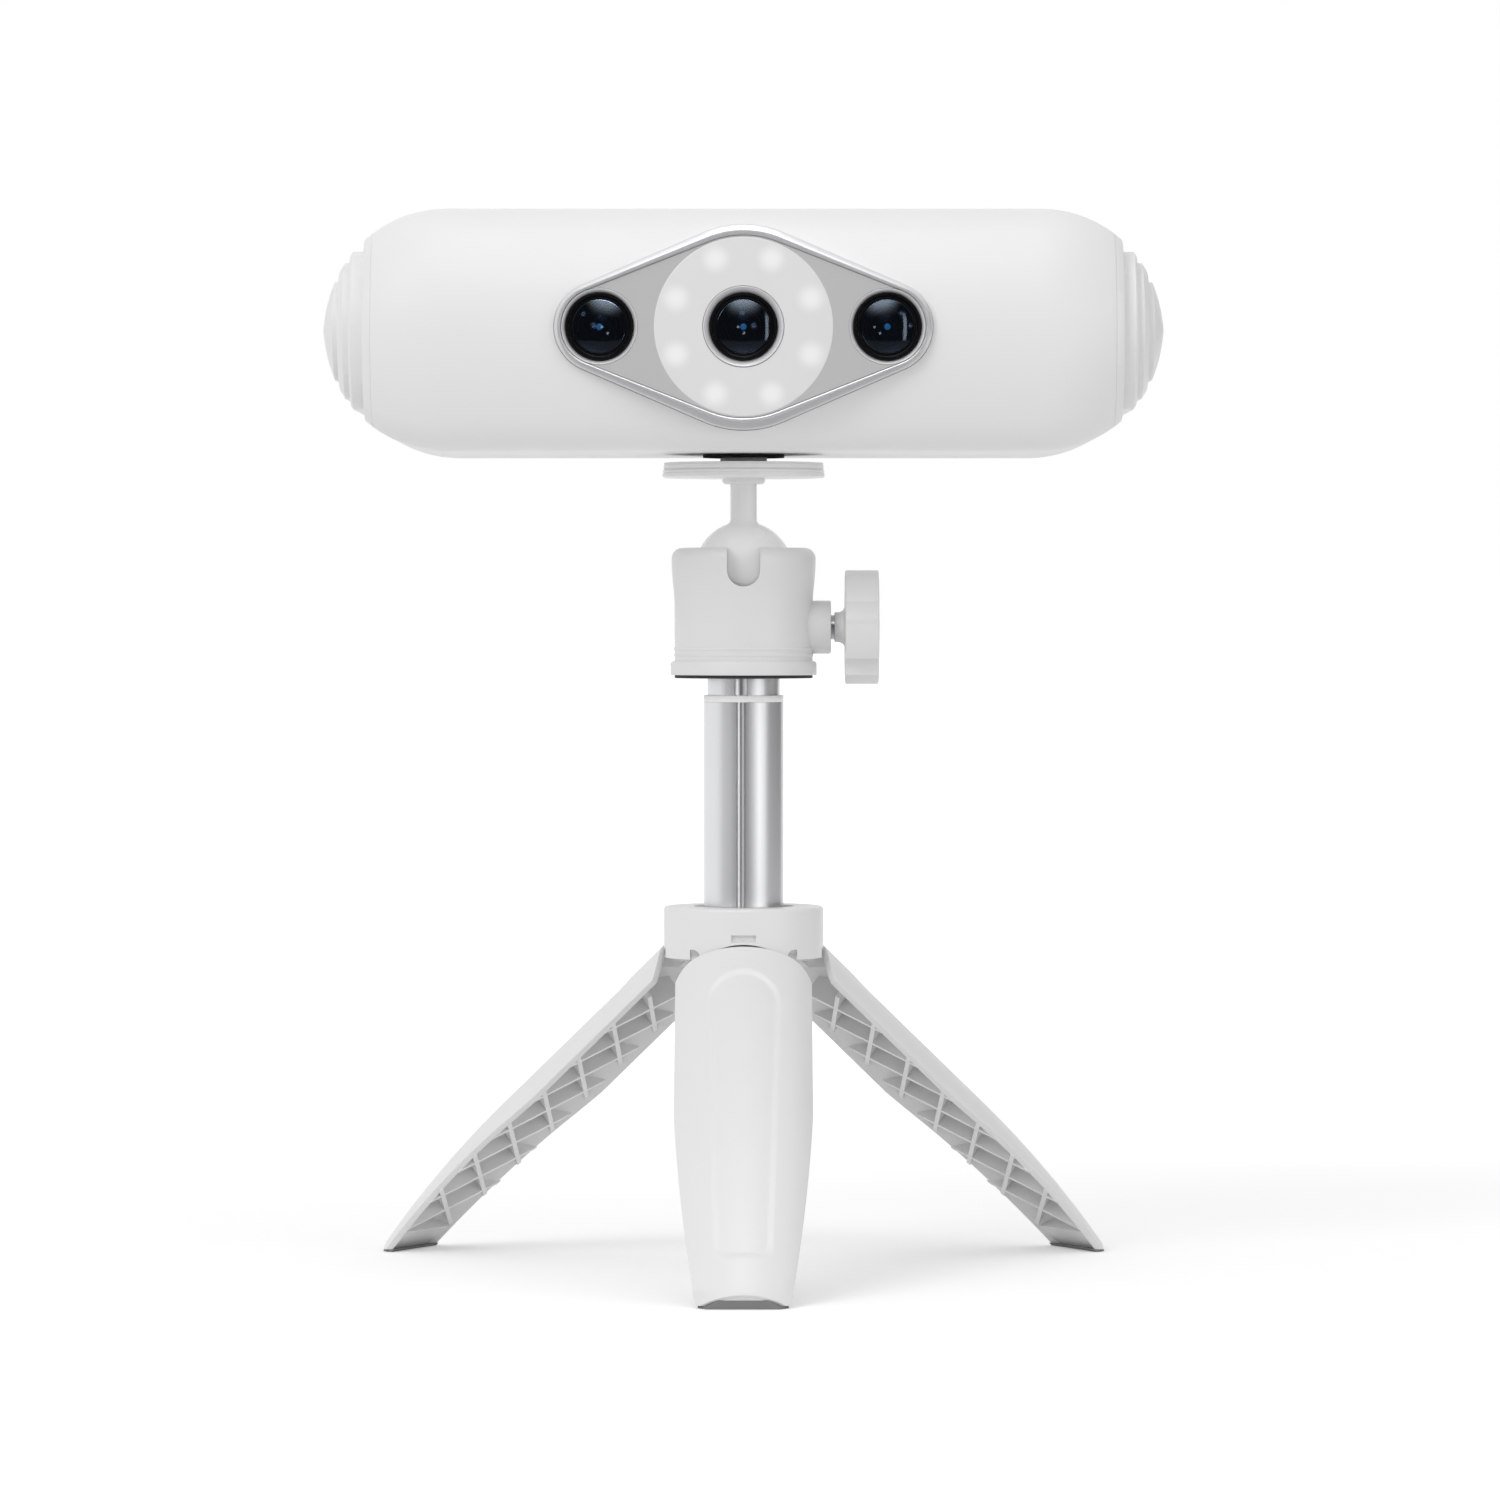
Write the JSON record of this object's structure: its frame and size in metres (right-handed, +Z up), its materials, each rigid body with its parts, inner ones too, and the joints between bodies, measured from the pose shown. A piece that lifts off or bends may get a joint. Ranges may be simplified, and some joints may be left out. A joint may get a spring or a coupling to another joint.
{
  "type": "three-d scanner",
  "caption": "Three-d scanner head with a ring light between side cameras, on a ball head, a sliding column and folding tripod legs with ribs inside.",
  "frame": {"origin": "on the floor, under the middle of the whole object's box", "axes": "+X to the scanner's right as the picture shows it, -Y out of the scanner's front, +Z up along the column"},
  "size_m": [0.1548, 0.1226, 0.1977],
  "materials": {
    "body_plastic": "smooth satin, off-white",
    "bezel_metal": "silver, fine satin",
    "panel_grey": "matte grey",
    "diffuser": "white, translucent",
    "lamp": "pale yellow",
    "circuit_board": "green",
    "barrel_black": "matte black",
    "lens_glass": "coated, dark blue",
    "frame_metal": "as cast",
    "screw_steel": "plain",
    "switch_black": "matte black",
    "status_window": "pale, translucent",
    "button_grey": "satin",
    "brass": "turned",
    "dark_rubber": "matte",
    "head_plastic": "satin off-white",
    "ball_metal": "satin off-white",
    "bush_nylon": "natural white",
    "tube_metal": "bright drawn tube",
    "collar_white": "satin",
    "leg_plastic": "satin off-white",
    "sole_rubber": "matte grey"
  },
  "bodies": {
    "hub": {"hub": "leg_plastic", "hub_bush": "bush_nylon", "leg_pins": "screw_steel"},
    "leg_front": {"leg_front": "leg_plastic", "foot_front": "sole_rubber"},
    "leg_left": {"leg_left": "leg_plastic", "foot_left": "sole_rubber"},
    "leg_right": {"leg_right": "leg_plastic", "foot_right": "sole_rubber"},
    "lower_column": {"lower_tube": "tube_metal", "tube_collar": "collar_white", "lower_bush": "bush_nylon"},
    "upper_column": {"upper_tube": "tube_metal", "upper_plug": "tube_metal", "upper_bush": "bush_nylon"},
    "head": {"head_housing": "head_plastic", "head_base": "head_plastic", "ball_seat": "bush_nylon", "clamp_shoe": "brass", "head_washer": "dark_rubber"},
    "knob": {"clamp_knob": "head_plastic", "clamp_screw": "screw_steel"},
    "ball": {"ball_stud": "ball_metal", "top_plate": "head_plastic", "plate_pad": "head_plastic", "mounting_screw": "screw_steel"},
    "scanner": {"front_shell": "body_plastic", "rear_shell": "body_plastic", "left_end_cap": "body_plastic", "right_end_cap": "body_plastic", "lens_bezel": "bezel_metal", "lens_panel": "panel_grey", "ring_light": "diffuser", "ring_board": "circuit_board", "ring_lamps": "lamp", "projector_trim": "bezel_metal", "camera_trims": "bezel_metal", "projector_barrel": "barrel_black", "left_camera_barrel": "barrel_black", "right_camera_barrel": "barrel_black", "projector_lens": "lens_glass", "left_camera_lens": "lens_glass", "right_camera_lens": "lens_glass", "optical_frame": "frame_metal", "camera_boards": "circuit_board", "projector_body": "barrel_black", "heat_sink": "frame_metal", "frame_screws": "screw_steel", "main_board": "circuit_board", "board_screws": "screw_steel", "rear_port": "screw_steel", "button_switch": "switch_black", "status_light": "status_window", "tripod_insert": "brass", "tripod_pad": "dark_rubber"},
    "scan_button": {"scan_button": "button_grey"}
  },
  "joints": [
    {"name": "leg_front_fold", "type": "hinge", "parent": "hub", "child": "leg_front", "pos_m": [0, 0.00492, 0.0595], "axis": [1, 0, 0], "range_deg": [0, 49]},
    {"name": "leg_right_fold", "type": "hinge", "parent": "hub", "child": "leg_right", "pos_m": [0.00996, 0.02217, 0.0595], "axis": [-0.5, 0.866, 0], "range_deg": [0, 49]},
    {"name": "leg_left_fold", "type": "hinge", "parent": "hub", "child": "leg_left", "pos_m": [-0.00996, 0.02217, 0.0595], "axis": [-0.5, -0.866, 0], "range_deg": [0, 49]},
    {"name": "column_slide", "type": "slide", "parent": "hub", "child": "lower_column", "axis": [0, 0, -1], "range_m": [0, 0.036]},
    {"name": "upper_tube_slide", "type": "slide", "parent": "lower_column", "child": "upper_column", "axis": [0, 0, 1], "range_m": [0, 0.028]},
    {"name": "head_pan", "type": "hinge", "parent": "upper_column", "child": "head", "pos_m": [0, 0.01642, 0.1114], "axis": [0, 0, 1], "continuous": true},
    {"name": "clamp_knob_turn", "type": "hinge", "parent": "head", "child": "knob", "pos_m": [0.0224, 0.01642, 0.1207], "axis": [1, 0, 0], "continuous": true},
    {"name": "ball_tilt", "type": "hinge", "parent": "head", "child": "ball", "pos_m": [0, 0.01642, 0.1314], "axis": [-1, 0, 0], "range_deg": [-90, 45]},
    {"name": "scanner_turn", "type": "hinge", "parent": "ball", "child": "scanner", "pos_m": [0, 0.01642, 0.153], "axis": [0, 0, 1], "continuous": true},
    {"name": "scan_button_press", "type": "slide", "parent": "scanner", "child": "scan_button", "axis": [0, -1, 0], "range_m": [0, 0.001], "stiffness_N_per_m": 900, "springref_m": -0.0006}
  ]
}
